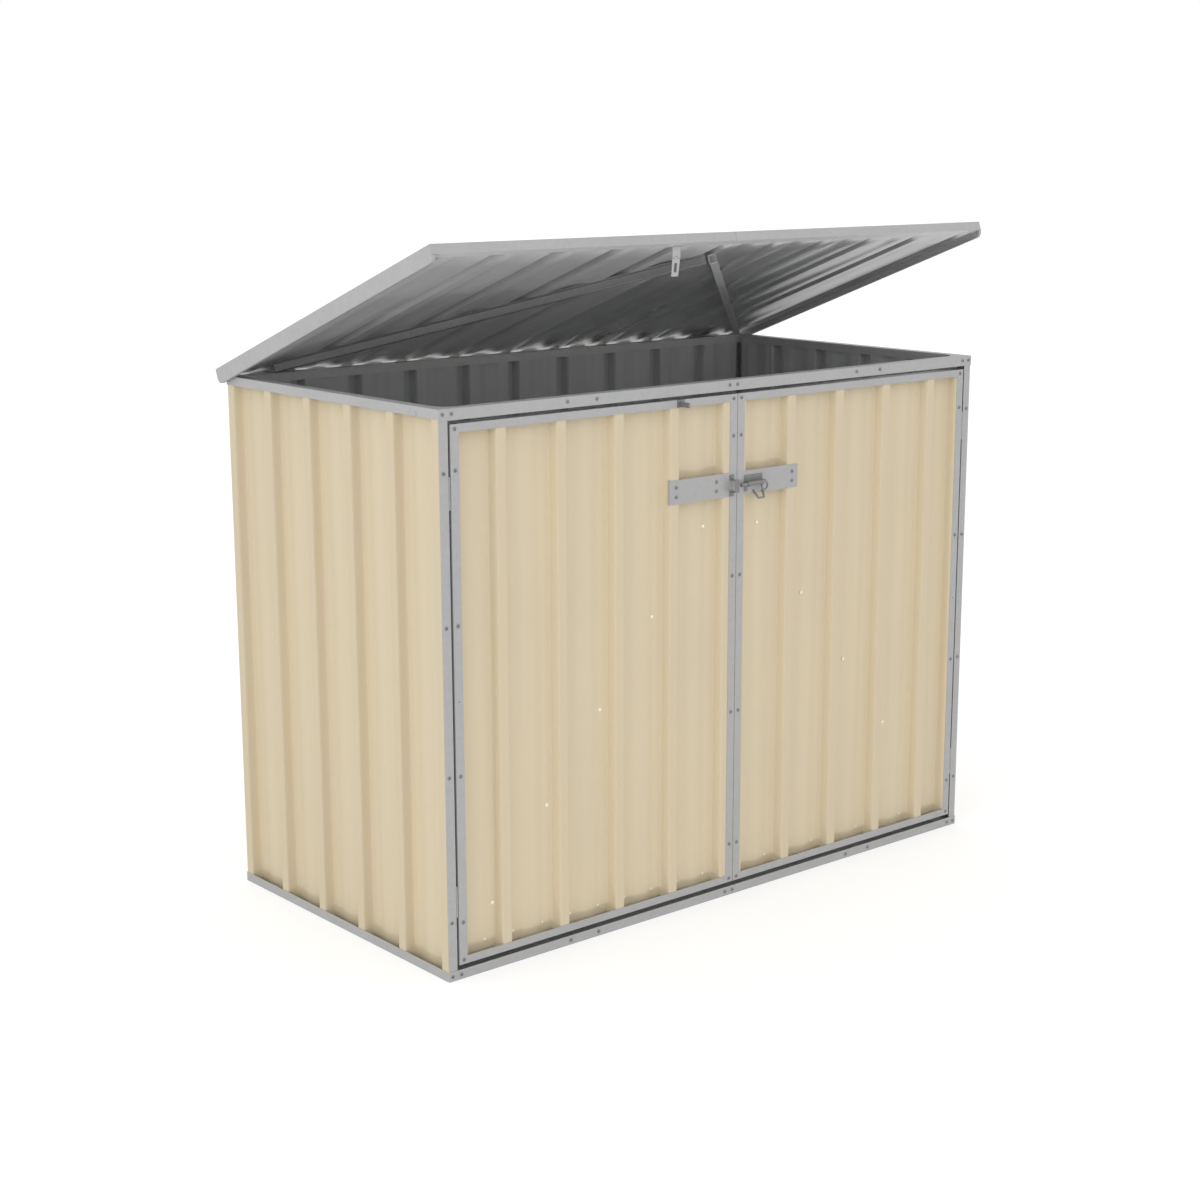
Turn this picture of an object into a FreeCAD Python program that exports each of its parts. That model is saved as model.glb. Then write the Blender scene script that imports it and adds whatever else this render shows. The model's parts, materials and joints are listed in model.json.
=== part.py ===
import FreeCAD, Part

import math
import os

# Wheelie bin store of ribbed steel sheet in a folded galvanised frame.
# Working frame, in millimetres: x to the right from the left side, y back from the front face,
# z up from the ground. Every piece is moved at the end, so that the origin lies on the ground
# under the middle of the whole object.

# Cabinet, over the outer faces of its rails
width = 1520.0
depth = 774.0
height = 1139.0

# Metal
frame_gauge = 1.2
sheet_gauge = 0.8

# Ribbed sheet
rib_pitch = 149.5
rib_crest = 24.0
rib_run = 6.0
rib_height = 21.0
lid_rib_height = 16.2
swage_width = 60.0
swage_height = 4.5
swage_margin = 15.0

# Rails and posts
base_rail_height = 20.0
top_rail_height = 19.0
front_top_face = 22.3
rail_lip = 8.0
post_face = 21.5
post_leg = 20.0
gusset_leg = 34.0
gusset_hollow = 10.0

# Doors
door_side_gap = 4.8
door_bottom_gap = 10.0
door_top_gap = 7.7
meeting_offset = 12.0
meeting_gap = 1.2
stile_face = 20.0
door_rail_face = 16.0
left_crest_inset = 109.7
right_crest_inset = 2.4
right_edge_crest = 21.7

# Diagonal braces behind the sheets
brace_width = 17.0
brace_depth = 20.0
brace_rivets = 5
rivet_above_door_bottom = 101.5
rivet_below_door_top = 276.0
left_rivet_from_hinge = 99.7
left_rivet_from_meeting = 78.4
right_rivet_from_hinge = 78.0
right_rivet_from_meeting = 77.4
right_rivets_lower = 9.5
brace_foot_run = 50.0
brace_head_run = 22.0

# Door hinges
door_hinge_length = 64.0
low_hinge_above_door_bottom = 133.0
high_hinge_below_door_top = 131.0
door_knuckle_radius = 2.1
door_pin_radius = 1.0
leaf_gauge = 0.8
leaf_width = 14.0
hinge_play = 0.06
knuckle_gap = 0.4

# Lid
lid_clearance = 1.0
lid_seam_play = 0.05
lid_side_overhang = 12.5
lid_front_overhang = 57.4
lid_rear_overhang = 17.0
side_capping_depth = 34.3
capping_return = 8.0
capping_top = 25.0
front_capping_return = 24.0
capping_joint = 0.6
capping_end_round = 12.0
lid_open_angle = 20.14
lid_brace_apex_y = 36.5
lid_brace_apex_half = 10.0
lid_brace_foot_x = 77.0
lid_brace_foot_inset = 68.0

# Lid hinges, behind the back rail
lid_axis_behind = 4.0
lid_axis_below = 3.0
lid_knuckle_radius = 3.0
lid_pin_radius = 1.5
lid_hinge_length = 66.0
lid_hinge_inset = 130.0
lid_leaf_height = 22.0

# Hasp on the lid's front capping and its staple on the left door
hasp_before_meeting = 161.5
hasp_width = 21.0
hasp_leaf_length = 21.0
hasp_tab = 13.0
hasp_strap_length = 39.0
hasp_slot_width = 8.0
hasp_slot_length = 20.0
hasp_slot_centre = 21.0
hasp_knuckle_radius = 2.2
hasp_pin_radius = 1.1
hasp_gauge = 1.6
hasp_taper = 1.5
hasp_lean = 7.5
staple_width = 20.0
staple_tongue = 4.0
staple_reach = 26.0
staple_height = 10.0
staple_hole_radius = 2.5

# Bolt, its barrel, its keeper and their plates
lock_plate_below_door_top = 217.0
lock_plate_height = 51.0
left_plate_length = 170.0
left_plate_lip = 7.0
right_plate_length = 161.4
bolt_above_plate_low = 23.5
bolt_proud = 11.0
bolt_radius = 4.0
bolt_play = 0.3
bolt_keeper_gap = 11.9
bolt_length = 63.6
ring_radius = 8.5
ring_wire = 1.8
ring_past_end = 5.5
ring_drop = 7.5
ring_sides = 4
barrel_past_meeting = 21.0
barrel_length = 53.0
guide_length = 9.0
barrel_foot = 14.0
keeper_before_meeting = 22.0
keeper_length = 12.5
keeper_foot = 11.0
keeper_room = 12.0
keeper_proud = 17.0
padlock_bar = 3.6
padlock_half = 17.0
padlock_tip_half = 9.0
padlock_along = 42.0
padlock_proud = 9.8
padlock_below_bolt = 20.5
padlock_drop = 14.8

# Screws and rivets
screw_head_radius = 4.0
screw_head_height = 1.8
rivet_head_radius = 3.2
rivet_head_height = 1.2
head_sides = 6

# Sizes that follow
channel = rib_height + sheet_gauge + 2.0 * frame_gauge
swage_pan = swage_width + 2.0 * swage_margin
middle = width / 2.0
post_plane = frame_gauge
hinge_x = post_face + door_side_gap / 2.0
hinge_y = door_knuckle_radius
meeting_line = middle + meeting_offset
door_bottom = base_rail_height + door_bottom_gap
door_top = height - front_top_face - door_top_gap
left_door_start = post_face + door_side_gap
left_door_end = meeting_line - meeting_gap / 2.0
right_door_start = meeting_line + meeting_gap / 2.0
right_door_end = width - post_face - door_side_gap
lid_under = height + lid_clearance
lid_crest_top = lid_under + sheet_gauge + lid_rib_height
lid_top = lid_crest_top + lid_seam_play + frame_gauge
lid_front = -lid_front_overhang
lid_back = depth + lid_rear_overhang
lid_axis_y = depth + lid_axis_behind
lid_axis_z = height - lid_axis_below
hasp_x = meeting_line - hasp_before_meeting
door_hinge_centres = (door_bottom + low_hinge_above_door_bottom, door_top - high_hinge_below_door_top)
lock_plate_low = door_top - lock_plate_below_door_top
lock_plate_high = lock_plate_low + lock_plate_height
left_plate_bend = left_door_end - stile_face - left_plate_length
right_plate_end = right_door_start + stile_face + right_plate_length
bolt_height = lock_plate_low + bolt_above_plate_low
keeper_start = meeting_line - keeper_before_meeting
keeper_end = keeper_start + keeper_length
barrel_start = meeting_line + barrel_past_meeting
barrel_end = barrel_start + barrel_length
bolt_start = keeper_end + bolt_keeper_gap
bolt_end = bolt_start + bolt_length
padlock_x = barrel_start + padlock_along
padlock_root_z = bolt_height - padlock_below_bolt

X = FreeCAD.Vector(1, 0, 0)
Y = FreeCAD.Vector(0, 1, 0)
Z = FreeCAD.Vector(0, 0, 1)


def point(x, y, z):
    return FreeCAD.Vector(x, y, z)


def box(x0, x1, y0, y1, z0, z1):
    """Block between two corners."""
    return Part.makeBox(x1 - x0, y1 - y0, z1 - z0, point(x0, y0, z0))


def rod(radius, start, end):
    """Round bar between two points."""
    run = end - start
    return Part.makeCylinder(radius, run.Length, start, run)


def prism(corners, run):
    """Solid on a closed outline of 3-D corners."""
    return Part.Face(Part.makePolygon(corners + [corners[0]])).extrude(run)


def offset_path(path, gauge):
    """The path's other face: each corner moves by gauge to the left of the way, mitred."""
    corners = [p for p in path if len(p) == 2]
    normals = []
    for a, b in zip(corners, corners[1:]):
        length = math.hypot(b[0] - a[0], b[1] - a[1])
        normals.append(((a[1] - b[1]) / length, (b[0] - a[0]) / length))
    moved = []
    leg = 0
    for p in path:
        if len(p) == 3:
            n = normals[leg - 1]
            moved.append((p[0] + gauge * n[0], p[1] + gauge * n[1], p[2]))
            continue
        before = normals[max(leg - 1, 0)]
        after = normals[min(leg, len(normals) - 1)]
        reach = gauge / (1.0 + before[0] * after[0] + before[1] * after[1])
        moved.append((p[0] + reach * (before[0] + after[0]), p[1] + reach * (before[1] + after[1])))
        leg += 1
    return moved


def path_edges(path, place):
    """Lines between the corners, and an arc through each corner that is marked as one."""
    edges = []
    start = path[0]
    step = 1
    while step < len(path):
        if len(path[step]) == 3:
            through, end = path[step], path[step + 1]
            arc = Part.Arc(place(*start), place(*through[:2]), place(*end))
            edges.append(arc.toShape())
            step += 2
        else:
            end = path[step]
            edges.append(Part.makeLine(place(*start), place(*end)))
            step += 1
        start = end
    return edges


def folded(path, gauge, place, run):
    """Strip of metal bent along a path of (u, v) corners, gauge thick to the left, and run long."""
    other = offset_path(path, gauge)
    edges = path_edges(path, place)
    edges.append(Part.makeLine(place(*path[-1]), place(*other[-1])))
    edges += path_edges(other[::-1], place)
    edges.append(Part.makeLine(place(*other[0]), place(*path[0])))
    return Part.Face(Part.Wire(edges)).extrude(run)


def mirrored(shape):
    """The same piece on the other side of the middle."""
    return shape.mirror(point(middle, 0, 0), X)


def ribbed_path(length, crests, rise):
    """Outer line of a ribbed sheet: (u, v) with pans at 0 and crests at rise, cut to its length."""
    line = []
    last = None
    for crest in crests:
        foot = crest - rib_run
        if last is not None and foot - last > swage_pan:
            centre = (foot + last) / 2.0
            line += [(centre - swage_width / 2.0, 0.0), (centre, swage_height, "arc"),
                     (centre + swage_width / 2.0, 0.0)]
        last = crest + rib_crest + rib_run
        line += [(foot, 0.0), (crest, rise), (crest + rib_crest, rise), (last, 0.0)]
    kept = [p for p in line if 0.0 < p[0] < length]
    return [(0.0, kept[0][1])] + kept + [(length, kept[-1][1])]


def rib_row(first, last):
    """Crest starts at the rib pitch from first on, up to last."""
    count = int((last - first) / rib_pitch) + 1
    return [first + rib_pitch * k for k in range(count)]


# Rails of the cabinet

def plan_cut(shape, corners):
    """The piece inside a plan outline, which mitres its ends."""
    low = [point(x, y, -1.0) for x, y in corners]
    return shape.common(prism(low, Z * (height + 2.0)))


def front_rail(path):
    """Left front rail on a (y, z) section, mitred at the corner."""
    long = folded(path, frame_gauge, lambda y, z: point(0, y, z), X * middle)
    return plan_cut(long, [(0, 0), (middle, 0), (middle, channel), (channel, channel)])


def side_rail(path):
    """Left side rail on an (x, z) section, mitred at both corners."""
    long = folded(path, -frame_gauge, lambda x, z: point(x, 0, z), Y * depth)
    return plan_cut(long, [(0, 0), (channel, channel), (channel, depth - channel), (0, depth)])


def back_rails(path):
    """Both back rails on an (inset, z) section, butted in the middle."""
    long = folded(path, frame_gauge, lambda y, z: point(0, depth - y, z), X * middle)
    corners = [(0, depth), (middle, depth), (middle, depth - channel), (channel, depth - channel)]
    left = plan_cut(long, corners)
    return [left, mirrored(left)]


def base_channel(far_height):
    """Section of a base rail, open at the top."""
    return [(0, base_rail_height), (0, 0), (channel, 0), (channel, far_height)]


def top_channel(face, far_height):
    """Section of a top rail, open at the bottom."""
    return [(channel, height - far_height), (channel, height), (0, height), (0, height - face)]


def corner_gusset():
    """Flat plate in the front left corner of the top rails, its inner edge hollowed by an arc."""
    near = channel
    far = channel + gusset_leg
    hollow = near + gusset_hollow
    z = height - frame_gauge
    edges = [Part.makeLine(point(near, near, z), point(far, near, z)),
             Part.Arc(point(far, near, z), point(hollow, hollow, z), point(near, far, z)).toShape(),
             Part.makeLine(point(near, far, z), point(near, near, z))]
    return Part.Face(Part.Wire(edges)).extrude(Z * frame_gauge)


def front_post():
    """Left front post: a hemmed face towards the front and a leg inside the side sheet."""
    face = post_plane + frame_gauge
    inner = frame_gauge + sheet_gauge
    outline = [(frame_gauge, post_plane), (post_face, post_plane), (post_face, face),
               (inner + frame_gauge, face), (inner + frame_gauge, face + post_leg),
               (inner, face + post_leg), (inner, face), (frame_gauge, face)]
    corners = [point(x, y, frame_gauge) for x, y in outline]
    return prism(corners, Z * (height - 2.0 * frame_gauge))


def back_post():
    """Left back post: an angle inside the corner of the side and back sheets."""
    inner = frame_gauge + sheet_gauge
    far = depth - inner
    path = [(inner, far - post_leg), (inner, far), (inner + post_leg, far)]
    return folded(path, -frame_gauge, lambda x, y: point(x, y, frame_gauge),
                  Z * (height - 2.0 * frame_gauge))


# Ribbed sheets of the walls

def side_wall():
    """Left wall sheet, its front crest around the post's leg."""
    start = post_plane + frame_gauge
    length = depth - frame_gauge - start
    outer = frame_gauge + rib_height
    path = ribbed_path(length, rib_row(0.0, length), rib_height)
    return folded(path, -sheet_gauge, lambda u, v: point(outer - v, start + u, frame_gauge),
                  Z * (height - 2.0 * frame_gauge))


def back_wall():
    """Left back sheet, from the side sheet to the middle."""
    start = frame_gauge + sheet_gauge
    length = middle - start
    outer = depth - frame_gauge - rib_height
    path = ribbed_path(length, rib_row(0.0, length), rib_height)
    return folded(path, -sheet_gauge, lambda u, v: point(start + u, outer + v, frame_gauge),
                  Z * (height - 2.0 * frame_gauge))


# Door frames

def stile(start, inner_side):
    """Upright channel of a door; inner_side is 1 where the sheet lies to its right."""
    path = [(stile_face, 0), (0, 0), (0, channel), (stile_face, channel)]
    return folded(path, -frame_gauge, lambda u, v: point(start + inner_side * u, v, door_bottom),
                  Z * (door_top - door_bottom))


def door_rail(start, end, edge, inner_side):
    """Level channel of a door between its stiles; inner_side is 1 where the sheet lies above it."""
    path = [(door_rail_face, 0), (0, 0), (0, channel), (door_rail_face, channel)]
    return folded(path, -frame_gauge, lambda u, v: point(start, v, edge + inner_side * u),
                  X * (end - start))


def door_sheet(start, end, crests):
    """Ribbed sheet held inside the channels of a door."""
    left = start + frame_gauge
    length = end - frame_gauge - left
    outer = frame_gauge + rib_height
    path = ribbed_path(length, [crest - left for crest in crests], rib_height)
    low = door_bottom + frame_gauge
    return folded(path, -sheet_gauge, lambda u, v: point(left + u, outer - v, low),
                  Z * (door_top - frame_gauge - low))


def brace(start, end, back):
    """Channel from start to end on the back of a sheet; back points away from the sheet."""
    along = end - start
    run = FreeCAD.Vector(along)
    along.normalize()
    across = back.cross(along)
    half = brace_width / 2.0
    path = [(-half, 0), (-half, brace_depth), (half, brace_depth), (half, 0)]
    return folded(path, -frame_gauge, lambda u, v: start + across * u + back * v, run)


def brace_places(first_x, last_x, lower):
    """Where a door's brace is riveted, in (x, z), at even steps from its foot to its head."""
    low = door_bottom + rivet_above_door_bottom - lower
    high = door_top - rivet_below_door_top - lower
    shares = [k / (brace_rivets - 1.0) for k in range(brace_rivets)]
    return [(first_x + (last_x - first_x) * share, low + (high - low) * share) for share in shares]


def door_brace(first_x, last_x, lower):
    """Diagonal of a door, from the foot of the hinge stile to the head of the meeting stile."""
    places = brace_places(first_x, last_x, lower)
    slope = abs((places[-1][1] - places[0][1]) / (last_x - first_x))
    side = math.copysign(1.0, last_x - first_x)
    y = frame_gauge + rib_height + sheet_gauge
    foot = point(first_x - side * brace_foot_run, y, places[0][1] - slope * brace_foot_run)
    head = point(last_x + side * brace_head_run, y, places[-1][1] + slope * brace_head_run)
    return brace(foot, head, Y)


# Hinges

def post_hinge(z):
    """Left fixed leaf behind the post's face, two knuckles and the pin."""
    half = door_hinge_length / 2.0
    inner = half / 3.0 + knuckle_gap
    axis = point(hinge_x, hinge_y, z)
    plane = post_plane + frame_gauge
    leaf = box(post_face - leaf_width, post_face, plane, plane + leaf_gauge, z - half, z + half)
    for low, high in ((-half, -inner), (inner, half)):
        tab = box(post_face, hinge_x, plane, plane + leaf_gauge, z + low, z + high)
        tube = rod(door_knuckle_radius, axis + Z * low, axis + Z * high)
        leaf = leaf.fuse([tab, tube])
    pin = rod(door_pin_radius, axis - Z * inner, axis + Z * inner)
    return leaf.fuse(pin).removeSplitter()


def door_hinge(z):
    """Left moving leaf on the web of the hinge stile, and its middle knuckle."""
    half = door_hinge_length / 2.0
    inner = half / 3.0
    axis = point(hinge_x, hinge_y, z)
    edge = left_door_start
    clear = hinge_y + door_knuckle_radius + knuckle_gap
    leaf = box(edge - leaf_gauge, edge, clear, clear + leaf_width, z - half, z + half)
    tab = box(edge - leaf_gauge, edge, hinge_y, clear, z - inner, z + inner)
    tube = rod(door_knuckle_radius, axis - Z * inner, axis + Z * inner)
    bore = rod(door_pin_radius + hinge_play, axis - Z * inner, axis + Z * inner)
    return leaf.fuse([tab, tube]).cut(bore).removeSplitter()


def rail_hinge():
    """Left fixed leaf on the back rail, two knuckles and the pin."""
    half = lid_hinge_length / 2.0
    inner = half / 3.0 + knuckle_gap
    axis = point(lid_hinge_inset, lid_axis_y, lid_axis_z)
    low = lid_axis_z - lid_leaf_height
    top = lid_axis_z - lid_knuckle_radius - knuckle_gap
    leaf = box(axis.x - half, axis.x + half, depth, depth + frame_gauge, low, top)
    for start, end in ((-half, -inner), (inner, half)):
        tab = box(axis.x + start, axis.x + end, depth, depth + frame_gauge, top, lid_axis_z)
        tube = rod(lid_knuckle_radius, axis + X * start, axis + X * end)
        leaf = leaf.fuse([tab, tube])
    pin = rod(lid_pin_radius, axis - X * inner, axis + X * inner)
    return leaf.fuse(pin).removeSplitter()


def lid_hinge():
    """Left moving leaf under the rear edge of the lid, and its middle knuckle."""
    half = lid_hinge_length / 2.0
    inner = half / 3.0
    axis = point(lid_hinge_inset, lid_axis_y, lid_axis_z)
    near = lid_axis_y + lid_knuckle_radius + knuckle_gap
    under = lid_under - frame_gauge
    far = lid_back - frame_gauge
    leaf = box(axis.x - half, axis.x + half, near, far, under, lid_under)
    tab = box(axis.x - inner, axis.x + inner, lid_axis_y, near, under, lid_under)
    tube = rod(lid_knuckle_radius, axis - X * inner, axis + X * inner)
    bore = rod(lid_pin_radius + hinge_play, axis - X * inner, axis + X * inner)
    return leaf.fuse([tab, tube]).cut(bore).removeSplitter()


# Lid, drawn closed

def lid_sheet():
    """Left ribbed sheet of the lid."""
    start = frame_gauge - lid_side_overhang
    length = middle - start
    crests = [crest - start for crest in rib_row(frame_gauge, middle)]
    path = ribbed_path(length, crests, lid_rib_height)
    near = lid_front + frame_gauge
    return folded(path, sheet_gauge, lambda u, v: point(start + u, near, lid_under + v),
                  Y * (lid_back - frame_gauge - near))


def side_capping():
    """Left capping: over the sheet, down outside the wall and in again at the foot."""
    outer = -lid_side_overhang
    low = lid_top - side_capping_depth
    path = [(outer + capping_top, lid_top), (outer, lid_top), (outer, low),
            (outer + capping_return, low)]
    whole = folded(path, frame_gauge, lambda x, z: point(x, lid_front, z), Y * (lid_back - lid_front))
    near = lid_back - capping_end_round
    over = low + capping_end_round
    corner = box(outer, outer + capping_return, near, lid_back, low, over)
    corner = corner.cut(rod(capping_end_round, point(outer, near, over),
                            point(outer + capping_return, near, over)))
    return whole.cut(corner)


def front_capping():
    """Left half of the front capping: over the sheet, down its edge and back under it."""
    start = frame_gauge - lid_side_overhang
    low = lid_under - lid_seam_play - frame_gauge
    path = [(lid_front + capping_top, lid_top), (lid_front, lid_top), (lid_front, low),
            (lid_front + front_capping_return, low)]
    length = middle - capping_joint / 2.0 - start
    whole = folded(path, frame_gauge, lambda y, z: point(start, y, z), X * length)
    corner = box(start, start + capping_top, lid_front, lid_back, lid_crest_top, lid_top + frame_gauge)
    return whole.cut(corner)


def rear_capping():
    """Left half of the angle over the rear edge of the lid sheets."""
    start = frame_gauge - lid_side_overhang
    path = [(lid_back - capping_top, lid_top), (lid_back, lid_top), (lid_back, lid_under)]
    whole = folded(path, -frame_gauge, lambda y, z: point(start, y, z), X * (middle - start))
    corner = box(start, start + capping_top, lid_front, lid_back, lid_crest_top, lid_top + frame_gauge)
    return whole.cut(corner)


def lid_brace():
    """Left diagonal under the lid, from its front middle to its rear corner, closed at its ends."""
    foot = point(lid_brace_foot_x, depth - lid_brace_foot_inset, lid_under)
    apex = point(middle - lid_brace_apex_half, lid_brace_apex_y, lid_under)
    along = apex - foot
    along.normalize()
    across = along.cross(Z)
    half = brace_width / 2.0
    channel_piece = brace(foot, apex, -Z)
    for place, way in ((foot, along), (apex, -along)):
        edge = [place - across * half, place + across * half]
        edge += [corner - Z * brace_depth for corner in edge[::-1]]
        channel_piece = channel_piece.fuse(prism(edge, way * frame_gauge))
    return channel_piece.removeSplitter()


def hasp_frame(lean):
    """Root, way down and way out of the hasp: plumb while the lid is open as drawn, or leaning back."""
    angle = math.radians(lid_open_angle + lean)
    down = point(0, math.sin(angle), -math.cos(angle))
    out = point(0, -math.cos(angle), -math.sin(angle))
    under = lid_under - lid_seam_play - frame_gauge
    root = point(hasp_x, lid_front + front_capping_return, under)
    return root, down, out


def hasp_leaf():
    """Fixed leaf of the hasp: a tab under the front capping, a bend and two knuckles."""
    root, down, out = hasp_frame(0.0)
    half = hasp_width / 2.0
    third = half / 3.0 + knuckle_gap
    axis = root + down * hasp_leaf_length
    tab = box(hasp_x - half, hasp_x + half, root.y - hasp_tab, root.y, root.z - hasp_gauge, root.z)
    reach = hasp_leaf_length - hasp_knuckle_radius - knuckle_gap
    corners = [root - X * half, root - X * half + down * reach]
    corners += [corner + out * hasp_gauge for corner in corners[::-1]]
    leaf = tab.fuse(prism(corners, X * hasp_width))
    for start, end in ((-half, -third), (third, half)):
        ear = [root + X * start + down * reach, root + X * start + down * hasp_leaf_length]
        ear += [corner + out * hasp_gauge for corner in ear[::-1]]
        tube = rod(hasp_knuckle_radius, axis + X * start, axis + X * end)
        leaf = leaf.fuse([prism(ear, X * (end - start)), tube])
    pin = rod(hasp_pin_radius, axis - X * third, axis + X * third)
    return leaf.fuse(pin).removeSplitter()


def hasp_strap():
    """Moving strap of the hasp: a knuckle, a neck and a tapered plate with a round-ended slot."""
    root, down, out = hasp_frame(0.0)
    half = hasp_width / 2.0
    third = half / 3.0
    axis = root + down * hasp_leaf_length
    root, down, out = hasp_frame(hasp_lean)
    start = hasp_knuckle_radius + knuckle_gap
    foot = half - hasp_taper
    outline = [(-half, start), (-foot, hasp_strap_length), (foot, hasp_strap_length), (half, start)]
    plate = prism([axis + X * u + down * v for u, v in outline], out * hasp_gauge)
    neck = [axis - X * third, axis - X * third + down * start]
    neck += [corner + out * hasp_gauge for corner in neck[::-1]]
    tube = rod(hasp_knuckle_radius, axis - X * third, axis + X * third)
    strap = plate.fuse([prism(neck, X * (2.0 * third)), tube])
    strap = strap.cut(rod(hasp_pin_radius + hinge_play, axis - X * third, axis + X * third))
    return strap.cut(hasp_slot(axis, down, out)).removeSplitter()


def hasp_slot(axis, down, out):
    """Tool that cuts the slot, two round ends and the run between them."""
    radius = hasp_slot_width / 2.0
    half = hasp_slot_length / 2.0 - radius
    centre = axis + down * hasp_slot_centre - out * hasp_gauge
    ends = [centre - down * half, centre + down * half]
    corners = [ends[0] - X * radius, ends[1] - X * radius, ends[1] + X * radius, ends[0] + X * radius]
    tool = prism(corners, out * (3.0 * hasp_gauge))
    for end in ends:
        tool = tool.fuse(rod(radius, end, end + out * (3.0 * hasp_gauge)))
    return tool


def door_staple():
    """Staple for the hasp on the head of the left door, with a hole for a padlock."""
    root, down, out = hasp_frame(0.0)
    slot = root + down * (hasp_leaf_length + hasp_slot_centre)
    half = staple_width / 2.0
    base = box(hasp_x - half, hasp_x + half, -frame_gauge, 0, door_top - door_rail_face, door_top)
    tongue = box(hasp_x - staple_tongue / 2.0, hasp_x + staple_tongue / 2.0, -staple_reach, 0,
                 slot.z - staple_height / 2.0, slot.z + staple_height / 2.0)
    hole_y = -staple_reach + staple_hole_radius + frame_gauge
    hole = rod(staple_hole_radius, point(hasp_x - half, hole_y, slot.z),
               point(hasp_x + half, hole_y, slot.z))
    return base.fuse(tongue).cut(hole).removeSplitter()


# Bolt and its fittings

def left_lock_plate():
    """Plate on the left door's ribs beside its stile, its far end bent back."""
    path = [(left_plate_bend, left_plate_lip), (left_plate_bend, 0), (left_door_end - stile_face, 0)]
    return folded(path, frame_gauge, lambda x, y: point(x, y, lock_plate_low),
                  Z * (lock_plate_high - lock_plate_low))


def right_lock_plate():
    """Plate on the right door's ribs beside its stile."""
    start = right_door_start + stile_face
    return box(start, right_plate_end, 0, frame_gauge, lock_plate_low, lock_plate_high)


def keeper():
    """Hat-shaped strap on the left lock plate that the bolt runs into."""
    low = bolt_height - keeper_room
    high = bolt_height + keeper_room
    path = [(0, low - keeper_foot), (0, low), (keeper_proud, low), (keeper_proud, high), (0, high),
            (0, high + keeper_foot)]
    return folded(path, -frame_gauge, lambda v, z: point(keeper_start, -v, z),
                  X * (keeper_end - keeper_start))


def bolt_barrel():
    """Hood over the bolt, held by a foot above it, with a closed guide at its left end."""
    top = bolt_radius + bolt_play
    front = bolt_proud
    over = bolt_height + top
    path = [(0, over + barrel_foot), (0, over), (front, over),
            (front + top * math.sqrt(0.5), bolt_height + top * math.sqrt(0.5), "arc"),
            (front + top, bolt_height)]
    hood = folded(path, frame_gauge, lambda v, z: point(barrel_start, -v, z),
                  X * (barrel_end - barrel_start))
    under = bolt_height - top
    path = [(0, over + barrel_foot), (0, over), (front, over), (front + top, bolt_height, "arc"),
            (front, under), (0, under), (0, under - barrel_foot + frame_gauge)]
    guide = folded(path, frame_gauge, lambda v, z: point(barrel_start, -v, z), X * guide_length)
    return hood.fuse(guide).removeSplitter()


def padlock_staple():
    """Bar bent to a U that stands out of the right lock plate, sloping down, below the barrel."""
    slope = math.atan2(padlock_drop, padlock_proud)
    reach = math.hypot(padlock_drop, padlock_proud)
    out = point(0, -math.cos(slope), -math.sin(slope))
    thick = out.cross(X)
    root = point(padlock_x, 0, padlock_root_z)
    path = [(-padlock_half, -padlock_bar), (-padlock_tip_half, reach), (padlock_tip_half, reach),
            (padlock_half, -padlock_bar)]
    bar = folded(path, -padlock_bar, lambda u, v: root + X * u + out * v, thick * padlock_bar)
    wall = box(padlock_x - 2.0 * padlock_half, padlock_x + 2.0 * padlock_half, 0,
               2.0 * padlock_bar, padlock_root_z - padlock_proud, padlock_root_z + padlock_proud)
    return bar.cut(wall).removeSplitter()


def bolt():
    """Rod with a pull ring through its end, the ring square in section."""
    y = -bolt_proud
    bar = rod(bolt_radius, point(bolt_start, y, bolt_height), point(bolt_end, y, bolt_height))
    centre = point(bolt_end + ring_past_end, y, bolt_height - ring_drop)
    corners = []
    for k in range(ring_sides):
        turn = 2.0 * math.pi * (k + 0.5) / ring_sides
        corners.append(centre + X * (ring_radius + ring_wire * math.cos(turn))
                       + Y * (ring_wire * math.sin(turn)))
    section = Part.Face(Part.makePolygon(corners + [corners[0]]))
    return bar.fuse(section.revolve(centre, Y, 360.0)).removeSplitter()


# Screws and rivets

def head(radius, rise, place, out):
    """Head of a fastener, seated at a point and standing out along a direction."""
    side = out.cross(Z)
    if side.Length < 0.5:
        side = FreeCAD.Vector(X)
    other = out.cross(side)
    corners = []
    for k in range(head_sides):
        turn = 2.0 * math.pi * (k + 0.5) / head_sides
        corners.append(place + side * (radius * math.cos(turn)) + other * (radius * math.sin(turn)))
    return prism(corners, out * rise)


def screws(places, out):
    return [head(screw_head_radius, screw_head_height, place, out) for place in places]


def rivets(places, out):
    return [head(rivet_head_radius, rivet_head_height, place, out) for place in places]


# Where the screws sit, from the ends and edges of what they hold
corner_inset = 9.0
rail_screw_offsets = (9.0, 30.0, 311.0, 386.0, 749.0)
screw_rail_line = 10.0
post_screw_inset = 122.0
stile_screw_inset = 10.5
stile_end_screw = 9.0
stile_screw_end = 88.0
screws_between_ends = 4
plate_screw_inset = 17.3
plate_screw_step = 114.0
plate_screw_row = 15.5


def even_steps(first, last):
    """Heights of a column of screws, at even steps from first to last."""
    step = (last - first) / (screws_between_ends - 1.0)
    return [first + step * k for k in range(screws_between_ends)]


def frame_screws():
    """Screws of the cabinet's frame, on the front and the back."""
    heads = []
    levels = (screw_rail_line, height - screw_rail_line)
    for offset in rail_screw_offsets:
        for x in (offset, width - offset):
            heads += screws([point(x, 0, z) for z in levels], -Y)
            heads += screws([point(x, depth, z) for z in levels], Y)
    for z in even_steps(post_screw_inset, height - post_screw_inset):
        heads += screws([point(corner_inset + frame_gauge, post_plane, z),
                         point(width - corner_inset - frame_gauge, post_plane, z)], -Y)
    return heads


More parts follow.
